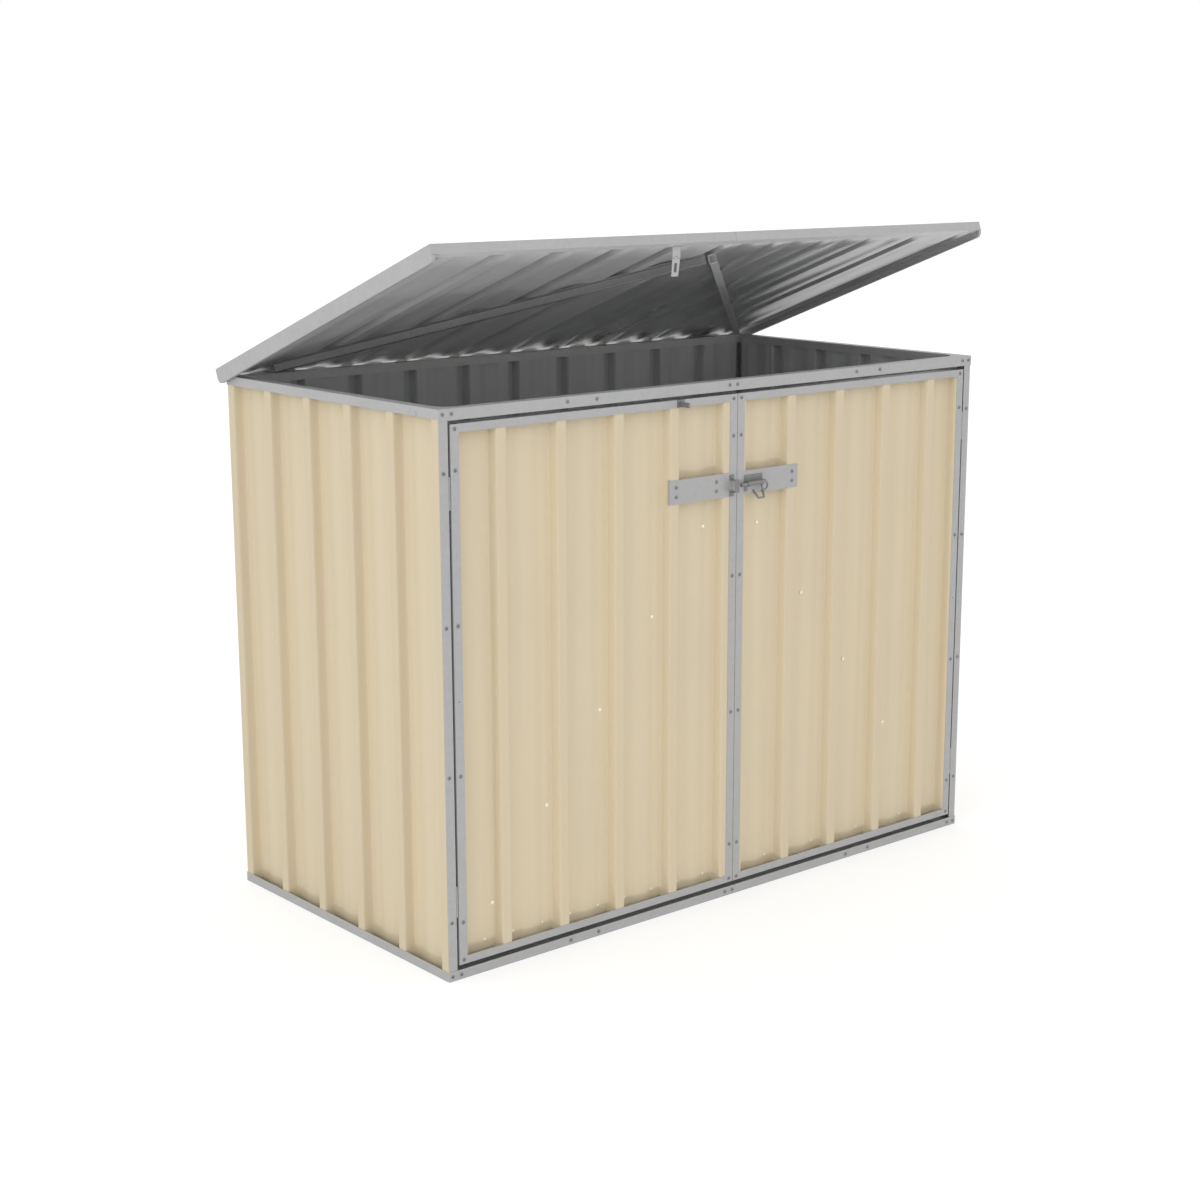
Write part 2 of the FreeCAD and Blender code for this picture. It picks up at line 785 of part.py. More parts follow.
def door_screws(start, end, plate_places):
    """Screws of one door's frame and of its lock plate."""
    heights = even_steps(door_bottom + stile_screw_end, door_top - stile_screw_end)
    heights += [door_bottom + stile_end_screw, door_top - stile_end_screw]
    places = [point(x, 0, z) for x in (start + stile_screw_inset, end - stile_screw_inset)
              for z in heights]
    return screws(places, -Y) + screws(plate_places, -Y)


def sheet_front(x, crests):
    """How far behind the door's front the sheet's face lies at x."""
    pan = frame_gauge + rib_height
    radius = (swage_width ** 2 / 4.0 + swage_height ** 2) / (2.0 * swage_height)
    for k, crest in enumerate(crests):
        away = max(crest - x, x - crest - rib_crest, 0.0)
        if away < rib_run:
            return frame_gauge + rib_height * away / rib_run
        foot = crest + rib_crest + rib_run
        if k + 1 < len(crests) and crests[k + 1] - rib_run - foot > swage_pan:
            off = abs(x - (foot + crests[k + 1] - rib_run) / 2.0)
            if off < swage_width / 2.0:
                return pan - math.sqrt(radius ** 2 - off ** 2) + radius - swage_height
    return pan


def brace_rivet_heads(first_x, last_x, lower, crests):
    """Rivets through the sheet into the brace, each on the highest metal under its head."""
    places = []
    for x, z in brace_places(first_x, last_x, lower):
        edges = [edge for crest in crests for edge in (crest, crest + rib_crest)]
        spots = [x - rivet_head_radius, x, x + rivet_head_radius]
        spots += [edge for edge in edges if abs(edge - x) < rivet_head_radius]
        y = min(sheet_front(spot, crests) for spot in spots)
        places.append(point(x, y, z))
    return rivets(places, -Y)


# Layout of the doors
left_crests = rib_row(left_door_start + left_crest_inset, left_door_end)
right_crests = rib_row(right_door_start + right_crest_inset, right_door_end - rib_pitch / 2.0)
right_crests.append(right_door_end - right_edge_crest)
left_brace = (left_door_start + left_rivet_from_hinge, left_door_end - left_rivet_from_meeting, 0.0)
right_brace = (right_door_end - right_rivet_from_hinge, right_door_start + right_rivet_from_meeting,
               right_rivets_lower)


def plate_screws(xs):
    """Two rows of screws in a lock plate."""
    rows = (lock_plate_high - plate_screw_row, lock_plate_low + plate_screw_row)
    return [point(x, 0, z) for x in xs for z in rows]


def door_parts(name, start, end, hinge_first, crests, brace_place):
    """Frame, sheet and brace of a door; hinge_first is true where its hinges are at start."""
    hinge = (start, 1) if hinge_first else (end, -1)
    meeting = (end, -1) if hinge_first else (start, 1)
    inner = (start + stile_face, end - stile_face)
    return {
        name + "_hinge_stile": [stile(*hinge)],
        name + "_meeting_stile": [stile(*meeting)],
        name + "_top_rail": [door_rail(*inner, door_top, -1)],
        name + "_bottom_rail": [door_rail(*inner, door_bottom, 1)],
        name + "_sheet": [door_sheet(start, end, crests)],
        name + "_brace": [door_brace(*brace_place)],
        name + "_rivets": brace_rivet_heads(*brace_place, crests),
    }


def pair(shape):
    return [shape, mirrored(shape)]


def cabinet_parts():
    base_low = front_rail(base_channel(rail_lip))
    top_front = front_rail(top_channel(front_top_face, rail_lip))
    base_side = side_rail(base_channel(base_rail_height)[::-1])
    top_side = side_rail(top_channel(top_rail_height, top_rail_height)[::-1])
    hinges = [post_hinge(z) for z in door_hinge_centres]
    return {
        "base_rail_front_left": [base_low],
        "base_rail_front_right": [mirrored(base_low)],
        "base_rail_left": [base_side],
        "base_rail_right": [mirrored(base_side)],
        "base_rails_back": back_rails(base_channel(base_rail_height)),
        "top_rail_front_left": [top_front],
        "top_rail_front_right": [mirrored(top_front)],
        "top_rail_left": [top_side],
        "top_rail_right": [mirrored(top_side)],
        "top_rails_back": back_rails(top_channel(top_rail_height, top_rail_height)),
        "corner_gusset_left": [corner_gusset()],
        "corner_gusset_right": [mirrored(corner_gusset())],
        "post_front_left": [front_post()],
        "post_front_right": [mirrored(front_post())],
        "post_back_left": [back_post()],
        "post_back_right": [mirrored(back_post())],
        "wall_sheet_left": [side_wall()],
        "wall_sheet_right": [mirrored(side_wall())],
        "wall_sheet_back_left": [back_wall()],
        "wall_sheet_back_right": [mirrored(back_wall())],
        "post_hinges_left": hinges,
        "post_hinges_right": [mirrored(hinge) for hinge in hinges],
        "rail_hinges": pair(rail_hinge()),
        "frame_screws": frame_screws(),
    }


def left_door_parts():
    parts = door_parts("left_door", left_door_start, left_door_end, True, left_crests, left_brace)
    parts["left_door_hinges"] = [door_hinge(z) for z in door_hinge_centres]
    parts["left_lock_plate"] = [left_lock_plate()]
    parts["bolt_keeper"] = [keeper()]
    parts["hasp_staple"] = [door_staple()]
    xs = (left_plate_bend + plate_screw_inset, left_plate_bend + plate_screw_inset + plate_screw_step)
    parts["left_door_screws"] = door_screws(left_door_start, left_door_end, plate_screws(xs))
    return parts


def right_door_parts():
    parts = door_parts("right_door", right_door_start, right_door_end, False, right_crests,
                       right_brace)
    parts["right_door_hinges"] = [mirrored(door_hinge(z)) for z in door_hinge_centres]
    parts["right_lock_plate"] = [right_lock_plate()]
    parts["bolt_barrel"] = [bolt_barrel()]
    parts["padlock_staple"] = [padlock_staple()]
    xs = (right_plate_end - plate_screw_inset,)
    parts["right_door_screws"] = door_screws(right_door_start, right_door_end, plate_screws(xs))
    return parts


def lid_parts():
    """Every piece that rides on the lid, drawn closed."""
    return {
        "lid_sheet_left": [lid_sheet()],
        "lid_sheet_right": [mirrored(lid_sheet())],
        "lid_side_capping_left": [side_capping()],
        "lid_side_capping_right": [mirrored(side_capping())],
        "lid_front_cappings": pair(front_capping()),
        "lid_rear_cappings": pair(rear_capping()),
        "lid_braces": pair(lid_brace()),
        "lid_hinges": pair(lid_hinge()),
        "hasp_leaf": [hasp_leaf()],
        "hasp_strap": [hasp_strap()],
    }


def opened(shape):
    """A piece of the lid, turned up about the lid's hinge line."""
    turned = shape.copy()
    turned.rotate(point(0, lid_axis_y, lid_axis_z), -X, lid_open_angle)
    return turned


def all_parts():
    parts = cabinet_parts()
    parts.update(left_door_parts())
    parts.update(right_door_parts())
    parts["bolt"] = [bolt()]
    for name, solids in lid_parts().items():
        parts[name] = [opened(solid) for solid in solids]
    return parts


def shift_of(parts):
    """Move that puts the origin on the ground under the middle of everything."""
    whole = Part.makeCompound([solid for solids in parts.values() for solid in solids]).BoundBox
    return point(-(whole.XMin + whole.XMax) / 2.0, -(whole.YMin + whole.YMax) / 2.0, -whole.ZMin)


def export(parts, shift):
    os.makedirs("parts", exist_ok=True)
    for name, solids in parts.items():
        moved = []
        for solid in solids:
            copy = solid.copy()
            copy.translate(shift)
            moved.append(copy)
        shape = moved[0] if len(moved) == 1 else Part.makeCompound(moved)
        shape.exportStep("parts/" + name + ".step")


if __name__ == "__main__":
    everything = all_parts()
    export(everything, shift_of(everything))
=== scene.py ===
import json
import math

import bpy
import numpy as np
from mathutils import Matrix, Vector


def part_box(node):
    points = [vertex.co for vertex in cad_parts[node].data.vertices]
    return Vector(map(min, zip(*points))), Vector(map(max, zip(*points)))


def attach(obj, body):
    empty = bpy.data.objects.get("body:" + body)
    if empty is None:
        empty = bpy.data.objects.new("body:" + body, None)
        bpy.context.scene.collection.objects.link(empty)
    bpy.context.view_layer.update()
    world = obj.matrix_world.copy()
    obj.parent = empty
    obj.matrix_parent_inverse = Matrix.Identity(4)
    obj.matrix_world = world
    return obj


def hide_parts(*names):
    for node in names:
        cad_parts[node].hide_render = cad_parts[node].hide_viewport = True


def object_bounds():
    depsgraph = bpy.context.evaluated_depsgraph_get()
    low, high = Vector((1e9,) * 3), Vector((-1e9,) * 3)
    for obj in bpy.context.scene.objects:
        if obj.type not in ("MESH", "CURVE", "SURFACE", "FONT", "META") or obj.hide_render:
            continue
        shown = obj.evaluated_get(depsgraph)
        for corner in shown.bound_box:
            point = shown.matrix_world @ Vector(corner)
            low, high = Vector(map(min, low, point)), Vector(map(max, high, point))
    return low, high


# Wheelie bin store: two ribbed steel doors and a ribbed lid on a folded galvanised frame.
# The cabinet stands still, the doors swing on the outer posts, the lid on the back rail.
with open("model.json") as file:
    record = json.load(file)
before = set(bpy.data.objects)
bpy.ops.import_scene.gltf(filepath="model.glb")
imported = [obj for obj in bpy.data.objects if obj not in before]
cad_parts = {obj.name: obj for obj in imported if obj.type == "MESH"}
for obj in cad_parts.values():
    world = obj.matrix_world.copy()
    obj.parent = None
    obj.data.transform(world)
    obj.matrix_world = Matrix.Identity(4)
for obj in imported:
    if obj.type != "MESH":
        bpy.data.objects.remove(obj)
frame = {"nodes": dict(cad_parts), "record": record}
nodes = frame["nodes"]
cad_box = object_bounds()

# Viewpoint: a little left of the front corner and above the open lid, a moderately long lens.
# Its place and its ways were solved on the straight edges of the cabinet in the photo.
camera_place = (-3.01125, -3.53304, 1.62498)
right = Vector((0.76529, -0.64368, -0.00287)).normalized()
forward = Vector((0.62815, 0.74779, -0.21503))
forward = (forward - right * forward.dot(right)).normalized()
axes = Matrix((right, right.cross(forward), -forward)).transposed().to_4x4()
camera_data = bpy.data.cameras.new("viewpoint")
camera_data.sensor_width = 36.0
camera_data.lens = 62.37
camera_data.clip_end = 60.0
camera = bpy.data.objects.new("viewpoint", camera_data)
camera.matrix_world = Matrix.Translation(camera_place) @ axes
bpy.context.scene.collection.objects.link(camera)
bpy.context.scene.camera = camera
bpy.context.scene.view_settings.view_transform = "Standard"

# Light: one large soft window to the left, and two small low lamps that light the underside of
# the open lid from below the floor, which casts no shadow. Mirrors don't show the lamps, and
# nothing stands behind the camera, so the ribs keep their shaded sides.
ambient_strength = 0.92
backdrop_strength = 1.0


def soft_lamp(name, place, target, size, power):
    """Square area lamp at a place, turned to its target."""
    data = bpy.data.lights.new(name, "AREA")
    data.size = size
    data.energy = power
    lamp = bpy.data.objects.new(name, data)
    way = Vector(target) - Vector(place)
    lamp.matrix_world = Matrix.Translation(place) @ way.to_track_quat("-Z", "Y").to_matrix().to_4x4()
    lamp.visible_glossy = False
    bpy.context.scene.collection.objects.link(lamp)


def math_node(tree, operation, first, second=None, clamp=False):
    """Math node on sockets or numbers; returns its output socket."""
    node = tree.nodes.new("ShaderNodeMath")
    node.operation = operation
    node.use_clamp = clamp
    for slot, value in zip(node.inputs, (first, second)):
        if isinstance(value, bpy.types.NodeSocket):
            tree.links.new(value, slot)
        elif value is not None:
            slot.default_value = value
    return node.outputs[0]


def mixed_shaders(tree, mask, first, second):
    """Shader that goes from first to second with the mask; returns its socket."""
    node = tree.nodes.new("ShaderNodeMixShader")
    for slot, socket in zip(node.inputs, (mask, first, second)):
        tree.links.new(socket, slot)
    return node.outputs[0]


soft_lamp("window_left", (-4.7, -1.4, 1.7), (0.0, 0.0, 0.7), size=3.0, power=33.0)
soft_lamp("low_left", (-5.9, -1.0, -2.7), (0.0, 0.0, 0.6), size=0.5, power=42.0)
soft_lamp("low_front", (-0.6, -6.0, -2.7), (0.0, 0.0, 0.6), size=0.5, power=60.0)

world = bpy.data.worlds.new("studio")
bpy.context.scene.world = world
world.use_nodes = True
tree = world.node_tree
tree.nodes.clear()
rays = tree.nodes.new("ShaderNodeLightPath").outputs
mirrored = math_node(tree, "MAXIMUM", rays["Is Glossy Ray"], rays["Is Transmission Ray"])
direct = math_node(tree, "MAXIMUM", mirrored, rays["Is Camera Ray"])
backgrounds = []
for strength in (ambient_strength, backdrop_strength):
    background = tree.nodes.new("ShaderNodeBackground")
    background.inputs["Color"].default_value = (1.0, 1.0, 1.0, 1.0)
    background.inputs["Strength"].default_value = strength
    backgrounds.append(background.outputs[0])
out = tree.nodes.new("ShaderNodeOutputWorld")
tree.links.new(mixed_shaders(tree, direct, *backgrounds), out.inputs["Surface"])

# Floor: a pale plane that shows as white and keeps the soft shadow at the foot of the cabinet.
# Inside the cabinet, which has no bottom of its own, it is lit only by what falls in.
floor_half = 30.0
seen_tone = 0.62
seen_glow = 0.5
bounce_tone = 0.78
inside_reach = {"X": cad_box[1][0] - 0.02, "Y": 0.38}

floor_data = bpy.data.meshes.new("floor")
corners = [(-floor_half, -floor_half, 0), (floor_half, -floor_half, 0), (floor_half, floor_half, 0),
           (-floor_half, floor_half, 0)]
floor_data.from_pydata(corners, [], [(0, 1, 2, 3)])
floor = bpy.data.objects.new("floor", floor_data)
bpy.context.scene.collection.objects.link(floor)
floor_finish = bpy.data.materials.new("pale_floor")
floor_finish.use_nodes = True
tree = floor_finish.node_tree
tree.nodes.clear()
paints = []
for tone in (seen_tone, bounce_tone):
    paint = tree.nodes.new("ShaderNodeBsdfDiffuse")
    paint.inputs["Color"].default_value = (tone, tone, tone, 1.0)
    paints.append(paint.outputs[0])
apart = tree.nodes.new("ShaderNodeSeparateXYZ")
tree.links.new(tree.nodes.new("ShaderNodeTexCoord").outputs["Object"], apart.inputs[0])
outside = [math_node(tree, "GREATER_THAN", math_node(tree, "ABSOLUTE", apart.outputs[axis]), reach)
           for axis, reach in inside_reach.items()]
glow = tree.nodes.new("ShaderNodeEmission")
strength = math_node(tree, "MULTIPLY", math_node(tree, "MAXIMUM", *outside), seen_glow)
tree.links.new(strength, glow.inputs["Strength"])
white = tree.nodes.new("ShaderNodeAddShader")
tree.links.new(paints[0], white.inputs[0])
tree.links.new(glow.outputs[0], white.inputs[1])
rays = tree.nodes.new("ShaderNodeLightPath").outputs
out = tree.nodes.new("ShaderNodeOutputMaterial")
tree.links.new(mixed_shaders(tree, rays["Is Camera Ray"], paints[1], white.outputs[0]),
               out.inputs["Surface"])
floor_data.materials.append(floor_finish)
floor.visible_shadow = False

# Frame of the cabinet: folded galvanised channel, screwed together at the corners and joined
# in the middle of the long sides. The zinc shows a soft bloom of grains and a slight waviness.
frame_tones = ((0.425, 0.427, 0.43), (0.485, 0.487, 0.487))
# Tones, metallic and roughness of the top side of the lid. Its underside is painted paler as painted
# light.
top_tones = ((0.50, 0.503, 0.503), (0.54, 0.543, 0.542))
top_metallic = 0.3
top_rough = (0.5, 0.5, 0.5)
dust_tone = (0.48, 0.47, 0.45)
dust_share = 0.25
scratch_share = 0.35
scratch_tone = 0.5
rough_swing = 0.1
# Painted shade under the lid: how dark it is, and where and how fast the front of the underside
# darkens.
darkening_tone = 0.4
front_darkening_start = 0.05
front_darkening_slope = 2.2
front_darkening_share = 0.5
relief_reach = 0.0006


def new_group(name, inputs, outputs):
    """Shader node group with named sockets; returns it with its input and output nodes."""
    group = bpy.data.node_groups.new(name, "ShaderNodeTree")
    for title, kind in inputs:
        group.interface.new_socket(title, in_out="INPUT", socket_type=kind)
    for title, kind in outputs:
        group.interface.new_socket(title, in_out="OUTPUT", socket_type=kind)
    return group, group.nodes.new("NodeGroupInput"), group.nodes.new("NodeGroupOutput")


def group_node(tree, group, vector):
    """Node of a group with the coordinates on its vector socket; returns the node."""
    node = tree.nodes.new("ShaderNodeGroup")
    node.node_tree = group
    tree.links.new(vector, node.inputs["Vector"])
    return node


def stretched(tree, vector, stretch):
    """The coordinates multiplied by stretch; returns their socket."""
    mapping = tree.nodes.new("ShaderNodeMapping")
    mapping.inputs["Scale"].default_value = stretch
    tree.links.new(vector, mapping.inputs["Vector"])
    return mapping.outputs[0]


def noise_node(tree, vector, scale, detail=3.0):
    """Noise from 0 to 1 on the coordinates; returns its socket."""
    noise = tree.nodes.new("ShaderNodeTexNoise")
    noise.inputs["Scale"].default_value = scale
    noise.inputs["Detail"].default_value = detail
    tree.links.new(vector, noise.inputs["Vector"])
    return noise.outputs["Fac"]


# Zinc bloom: every grain of the crust has its own tone, softened by cloudy patches; the relief
# is the grain's tone plus fine noise, and the long wave is the buckle of thin rolled steel.
zinc_bloom, bloom_in, bloom_out = new_group(
    "zinc_bloom", [("Vector", "NodeSocketVector"), ("Grains", "NodeSocketFloat")],
    [("Tone", "NodeSocketFloat"), ("Relief", "NodeSocketFloat")])
place = bloom_in.outputs["Vector"]
grains = zinc_bloom.nodes.new("ShaderNodeTexVoronoi")
zinc_bloom.links.new(place, grains.inputs["Vector"])
zinc_bloom.links.new(bloom_in.outputs["Grains"], grains.inputs["Scale"])
grain_tone = zinc_bloom.nodes.new("ShaderNodeSeparateColor")
zinc_bloom.links.new(grains.outputs["Color"], grain_tone.inputs[0])
cloud = noise_node(zinc_bloom, place, 9.0, 4.0)
tone = math_node(zinc_bloom, "ADD", math_node(zinc_bloom, "MULTIPLY", grain_tone.outputs[0], 0.35),
                 math_node(zinc_bloom, "MULTIPLY", cloud, 0.65))
zinc_bloom.links.new(tone, bloom_out.inputs["Tone"])
fine = noise_node(zinc_bloom, place, 700.0, 2.0)
wave = noise_node(zinc_bloom, place, 5.0, 1.0)
relief = math_node(zinc_bloom, "ADD", math_node(zinc_bloom, "MULTIPLY", fine, 0.12),
                   math_node(zinc_bloom, "MULTIPLY", wave, 6.0))
relief = math_node(zinc_bloom, "ADD", relief,
                   math_node(zinc_bloom, "MULTIPLY", grain_tone.outputs[0], 0.05))
zinc_bloom.links.new(relief, bloom_out.inputs["Relief"])

# Handling marks: rare fine scratches along each way of the metal, and soft smudges of dust.
handling, handling_in, handling_out = new_group(
    "handling_marks", [("Vector", "NodeSocketVector")],
    [("Scratch", "NodeSocketFloat"), ("Dust", "NodeSocketFloat")])
place = handling_in.outputs["Vector"]
scratches = []
for stretch in ((9.0, 1.0, 1.0), (1.0, 1.0, 11.0)):
    hair = noise_node(handling, stretched(handling, place, stretch), 46.0, 2.0)
    scratches.append(math_node(handling, "GREATER_THAN", hair, 0.735))
scratch = math_node(handling, "MAXIMUM", *scratches)
patch = math_node(handling, "GREATER_THAN", noise_node(handling, place, 6.0), 0.52)
handling.links.new(math_node(handling, "MULTIPLY", scratch, patch), handling_out.inputs["Scratch"])
dust = noise_node(handling, place, 3.5, 5.0)
dust = math_node(handling, "SUBTRACT", math_node(handling, "MULTIPLY", dust, 3.0), 1.4, clamp=True)
handling.links.new(dust, handling_out.inputs["Dust"])


def mixed(tree, mask, first, second):
    """Colour that goes from first to second with the mask; returns its socket."""
    node = tree.nodes.new("ShaderNodeMix")
    node.data_type = "RGBA"
    tree.links.new(mask, node.inputs[0])
    for slot, value in ((node.inputs[6], first), (node.inputs[7], second)):
        if isinstance(value, bpy.types.NodeSocket):
            tree.links.new(value, slot)
        else:
            slot.default_value = (*value, 1.0)
    return node.outputs[2]


def covered(tree, colour, mask, share, cover):
    """The colour with a share of a cover where the mask is; returns its socket."""
    return mixed(tree, math_node(tree, "MULTIPLY", mask, share), colour, cover)


def scaled(colour, share):
    """A colour made darker or paler by a share, at most white."""
    return tuple(min(1.0, share * part) for part in colour)


def ranged(tree, value, low, high):
    """The value from 0 to 1 brought to a range; returns its socket."""
    node = tree.nodes.new("ShaderNodeMapRange")
    node.inputs["To Min"].default_value = low
    node.inputs["To Max"].default_value = high
    tree.links.new(value, node.inputs["Value"])
    return node.outputs[0]


def along_way(tree, vector, way):
    """Dot product of the vector and a fixed way; returns its socket."""
    node = tree.nodes.new("ShaderNodeVectorMath")
    node.operation = "DOT_PRODUCT"
    node.inputs[1].default_value = way
    tree.links.new(vector, node.inputs[0])
    return node.outputs["Value"]


def new_material(name):
    """New material; returns it with its node tree, its shader and its coordinate sockets."""
    material = bpy.data.materials.new(name)
    material.use_nodes = True
    tree = material.node_tree
    coordinates = tree.nodes.new("ShaderNodeTexCoord").outputs
    return material, tree, tree.nodes["Principled BSDF"], coordinates


def add_relief(tree, shader, height, strength):
    """Puts a bump of the height on the shader."""
    bump = tree.nodes.new("ShaderNodeBump")
    bump.inputs["Strength"].default_value = strength
    bump.inputs["Distance"].default_value = relief_reach
    tree.links.new(height, bump.inputs["Height"])
    tree.links.new(bump.outputs[0], shader.inputs["Normal"])


def underside_darkening(tree, coordinates, side_shade_share):
    """Mask of painted shade on an underside: the rib sides that look to the left, by the given
    share, and a front half that darkens towards the front."""
    left_side = math_node(tree, "MULTIPLY", along_way(tree, coordinates["Normal"], (-1.5, 0.0, 0.0)),
                          side_shade_share, clamp=True)
    apart = tree.nodes.new("ShaderNodeSeparateXYZ")
    tree.links.new(coordinates["Object"], apart.inputs[0])
    ahead = math_node(tree, "SUBTRACT", front_darkening_start, apart.outputs["Y"])
    ahead = math_node(tree, "MULTIPLY", ahead, front_darkening_slope, clamp=True)
    ahead = math_node(tree, "MULTIPLY", ahead, front_darkening_share)
    return math_node(tree, "ADD", left_side, ahead, clamp=True)


def zinc(name, tones, metallic, rough, grains, relief=0.25, stretch=None, top_way=None, side_shade_share=0.0,
         top_colours=top_tones):
    """Galvanised steel between its dark and its light tone, with grains per metre, handling
    marks and relief. Stretch draws the grains out along the rolling of the sheet. The side that
    looks along the given top way takes the two top colours and its own metallic and roughness;
    the other side keeps the main tones, which under the lid are painted paler as painted light,
    and the side shade share puts painted shade on that other side."""
    material, tree, shader, coordinates = new_material(name)
    place = coordinates["Object"]
    marks = group_node(tree, handling, place).outputs
    if stretch is not None:
        place = stretched(tree, place, stretch)
    bloom = group_node(tree, zinc_bloom, place)
    bloom.inputs["Grains"].default_value = grains
    tone = bloom.outputs["Tone"]
    colour = mixed(tree, tone, *tones)
    colour = covered(tree, colour, marks["Scratch"], scratch_share, scaled(tones[0], scratch_tone))
    colour = covered(tree, colour, marks["Dust"], dust_share, dust_tone)
    gloss = ranged(tree, tone, rough + rough_swing, rough - rough_swing)
    shader.inputs["Metallic"].default_value = metallic
    if top_way is not None:
        under = math_node(tree, "LESS_THAN", along_way(tree, coordinates["Normal"], top_way), 0.0)
        # Painted shade on the underside: its left-looking rib sides, and darker towards the front.
        if side_shade_share > 0.0:
            darkening_mask = underside_darkening(tree, coordinates, side_shade_share)
            colour = mixed(tree, darkening_mask, colour, scaled(tones[0], darkening_tone))
        colour = mixed(tree, under, mixed(tree, tone, *top_colours), colour)
        gloss = mixed(tree, under, top_rough, gloss)
        tree.links.new(ranged(tree, under, top_metallic, metallic), shader.inputs["Metallic"])
    tree.links.new(colour, shader.inputs["Base Color"])
    tree.links.new(gloss, shader.inputs["Roughness"])
    add_relief(tree, shader, bloom.outputs["Relief"], relief)
    return material


def finish_nodes(material, *names):
    """Gives CAD nodes their material."""
    for name in names:
        mesh = nodes[name].data
        mesh.materials.clear()
        mesh.materials.append(material)


frame_zinc = zinc("frame_zinc", frame_tones, metallic=0.25, rough=0.5, grains=110.0)
finish_nodes(frame_zinc, "base_rail_front_left", "base_rail_front_right", "base_rail_left",
             "base_rail_right", "base_rails_back", "top_rail_front_left", "top_rail_front_right",
             "top_rail_left", "top_rail_right", "top_rails_back", "corner_gusset_left",
             "corner_gusset_right", "post_front_left", "post_front_right", "post_back_left",
             "post_back_right")

# Wall sheets: thin steel rolled into ribs, cream paint baked on the outside and a plain grey
# backing coat inside. They stand in the base rails and are screwed under the top rails.
rib_pitch = 0.1495
crest_width = 0.024
rib_run = 0.006
wall_rib = 0.021
bend_reach = 0.0105
bend_round = 0.0016
line_step = 0.006
swage_width = 0.060
swage_rise = 0.0045
sheet_gauge = 0.0008
row_margin = 0.01
# Painted shade on the crests: how much of it, and how dark.
crest_shade_share = 0.5
crest_shade_tone = 0.87


def coated(name, outward, sheet, cream=(0.665, 0.571, 0.402), backing=(0.42, 0.425, 0.425)):
    """Baked paint on the side that faces outward, backing coat on the other side. The crests
    of the sheet are painted a little darker: painted shade that tones down their highlight."""
    material, tree, shader, coordinates = new_material(name)
    place = coordinates["Object"]
    marks = group_node(tree, handling, place).outputs
    streak = noise_node(tree, stretched(tree, place, (1.0, 1.0, 0.03)), 60.0)
    paint = mixed(tree, streak, scaled(cream, 0.965), scaled(cream, 1.035))
    paint = covered(tree, paint, marks["Dust"], 0.12, (0.5, 0.44, 0.33))
    paint = covered(tree, paint, marks["Scratch"], 0.18, (0.75, 0.7, 0.6))
    outermost = max(np.dot(outward, corner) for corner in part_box(sheet))
    # Painted shade: the crests darken with their height above the pans.
    above = math_node(tree, "SUBTRACT", along_way(tree, place, outward), float(outermost) - wall_rib)
    crest = math_node(tree, "DIVIDE", above, wall_rib, clamp=True)
    paint = covered(tree, paint, crest, crest_shade_share, scaled(cream, crest_shade_tone))
    grey = mixed(tree, streak, scaled(backing, 0.9), scaled(backing, 1.1))
    inside = math_node(tree, "LESS_THAN", along_way(tree, coordinates["Normal"], outward), -0.05)
    tree.links.new(mixed(tree, inside, paint, grey), shader.inputs["Base Color"])
    tree.links.new(ranged(tree, marks["Dust"], 0.42, 0.58), shader.inputs["Roughness"])
    peel = noise_node(tree, place, 900.0, 1.0)
    buckle = noise_node(tree, stretched(tree, place, (1.0, 1.0, 0.5)), 4.0, 1.0)
    height = math_node(tree, "ADD", math_node(tree, "MULTIPLY", peel, 0.08),
                       math_node(tree, "MULTIPLY", buckle, 5.0))
    add_relief(tree, shader, height, 0.3)
    return material


def rib_line(length, crests, rise):
    """Points along a sheet and its height there. Each crest is a flat top with steep straight
    sides, the mean of five shifted copies rounds its bends, and every wide pan between two
    crests carries a low swell, a flat parabola across."""
    tops = crests[:, None] + crest_width / 2.0
    bends = np.linspace(-bend_reach, bend_reach, 22)
    near = np.concatenate([(tops - crest_width / 2.0 + bends).ravel(),
                           (tops + crest_width / 2.0 + bends).ravel(), tops.ravel()])
    along = np.concatenate([near, np.arange(0.0, length, line_step), [length]])
    along = np.unique(np.round(along, 6))
    along = along[(along >= 0.0) & (along <= length)]
    shifts = np.linspace(-bend_round, bend_round, 5)[:, None, None]
    away = np.abs(along + shifts - tops)
    height = np.clip((crest_width / 2.0 + rib_run - away) / rib_run, 0.0, 1.0).mean(0).max(0) * rise
    pans = crests[1:] - crests[:-1] - crest_width - 2.0 * rib_run
    middles = ((crests[1:] + crests[:-1] + crest_width) / 2.0)[pans > 1.5 * swage_width]
    if len(middles):
        off = np.abs(along - middles[:, None]).min(0)
        height = height + swage_rise * np.clip(1.0 - (2.0 * off / swage_width) ** 2, 0.0, 1.0)
    return along, height


def new_piece(name, body, mesh, material, stands_for):
    """Puts a mesh into the scene as a piece of a body, in the place of a CAD node if one is
    named; returns the piece."""
    mesh.materials.append(material)
    piece = bpy.data.objects.new(name, mesh)
    bpy.context.scene.collection.objects.link(piece)
    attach(piece, body)
    if stands_for is not None:
        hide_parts(stands_for)
    return piece


def thin_piece(name, body, grid, gauge, material, stands_for, smooth=False):
    """Sheet on a grid of points, rows by columns; its faces look to the side where going along
    the rows and then along the columns turns anticlockwise. Solidify adds the gauge behind
    them."""
    count, width = grid.shape[:2]
    first = (np.arange(count - 1)[:, None] * width + np.arange(width - 1)).ravel()
    quads = np.stack([first, first + width, first + width + 1, first + 1], axis=1)
    mesh = bpy.data.meshes.new(name)
    mesh.from_pydata(grid.reshape(-1, 3), [], quads.tolist())
    if smooth:
        mesh.shade_smooth()
    piece = new_piece(name, body, mesh, material, stands_for)
    thickness = piece.modifiers.new("gauge", "SOLIDIFY")
    thickness.thickness = gauge
    thickness.offset = -1.0


